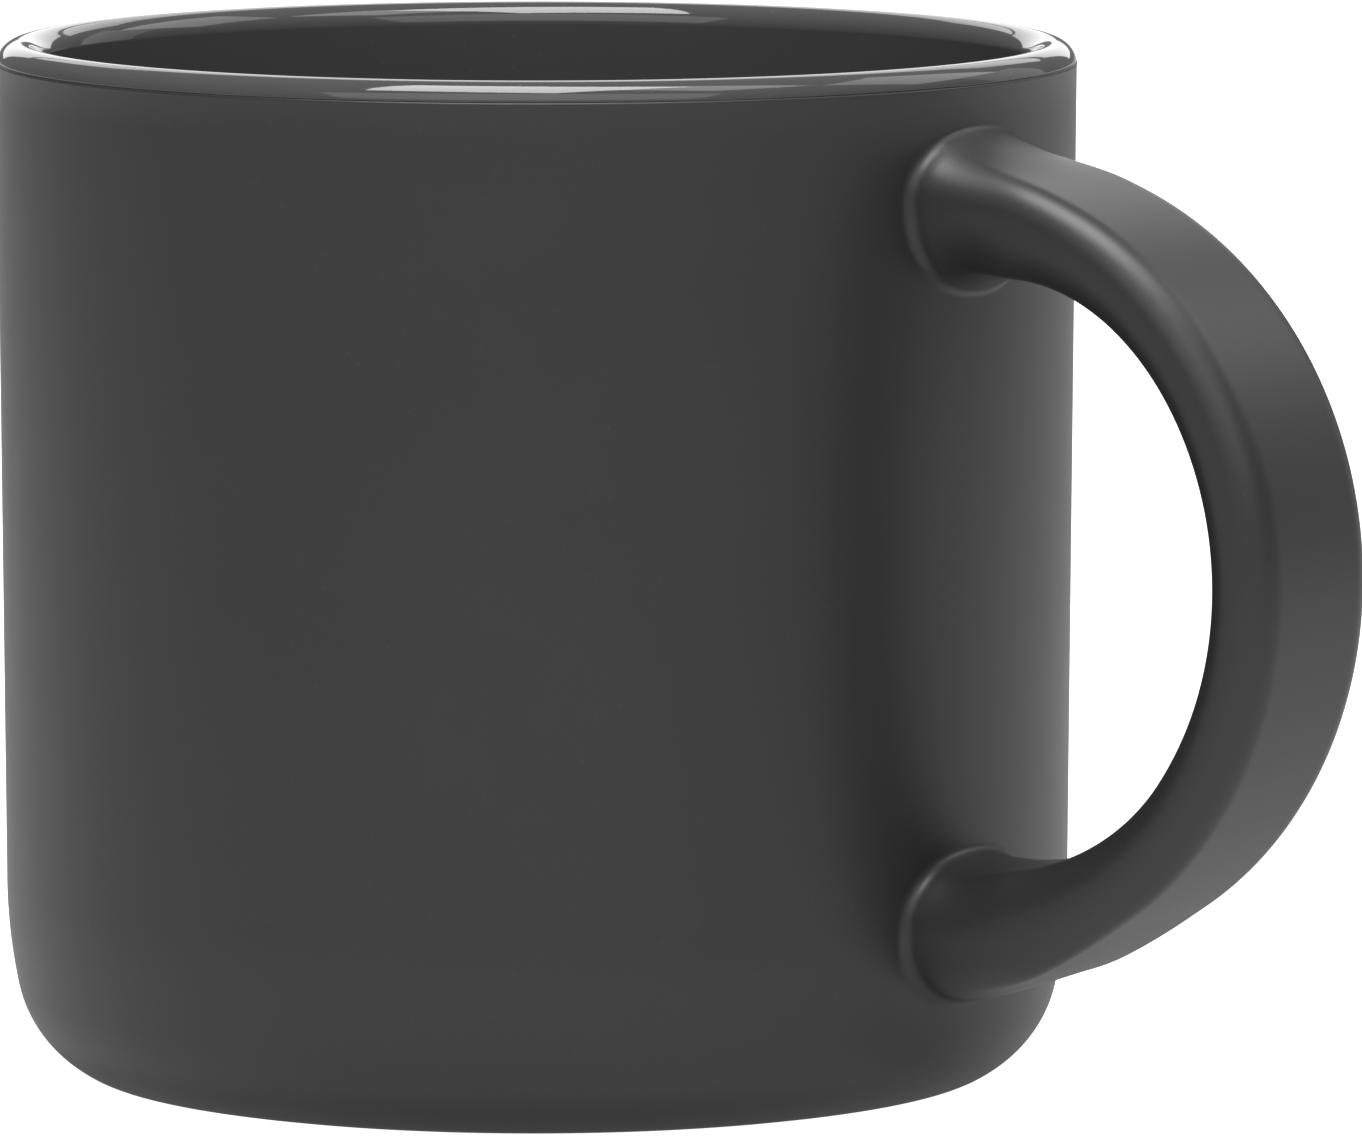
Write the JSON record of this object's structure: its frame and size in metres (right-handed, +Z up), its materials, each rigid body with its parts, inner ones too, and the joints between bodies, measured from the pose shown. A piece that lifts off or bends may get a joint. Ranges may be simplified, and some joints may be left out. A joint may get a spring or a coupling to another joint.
{
  "type": "ceramic mug",
  "caption": "Straight-walled stoneware mug with a matt outside, a gloss inside and a round strap handle for hot drinks.",
  "frame": {"origin": "centre of the foot ring, on the table", "axes": "+Z up along the axis of the cup, +X out through the middle of the handle"},
  "size_m": [0.1236, 0.09, 0.0864],
  "materials": {
    "stoneware": "bare fired stoneware",
    "luting_slip": "fired slip",
    "matt_glaze": "matt charcoal glaze",
    "gloss_glaze": "gloss charcoal glaze"
  },
  "bodies": {
    "root": {"cup_body": "stoneware", "handle_strap": "stoneware", "upper_slip_joint": "luting_slip", "lower_slip_joint": "luting_slip", "wall_glaze": "matt_glaze", "handle_glaze": "matt_glaze", "liner_glaze": "gloss_glaze", "base_glaze": "matt_glaze"}
  },
  "joints": []
}
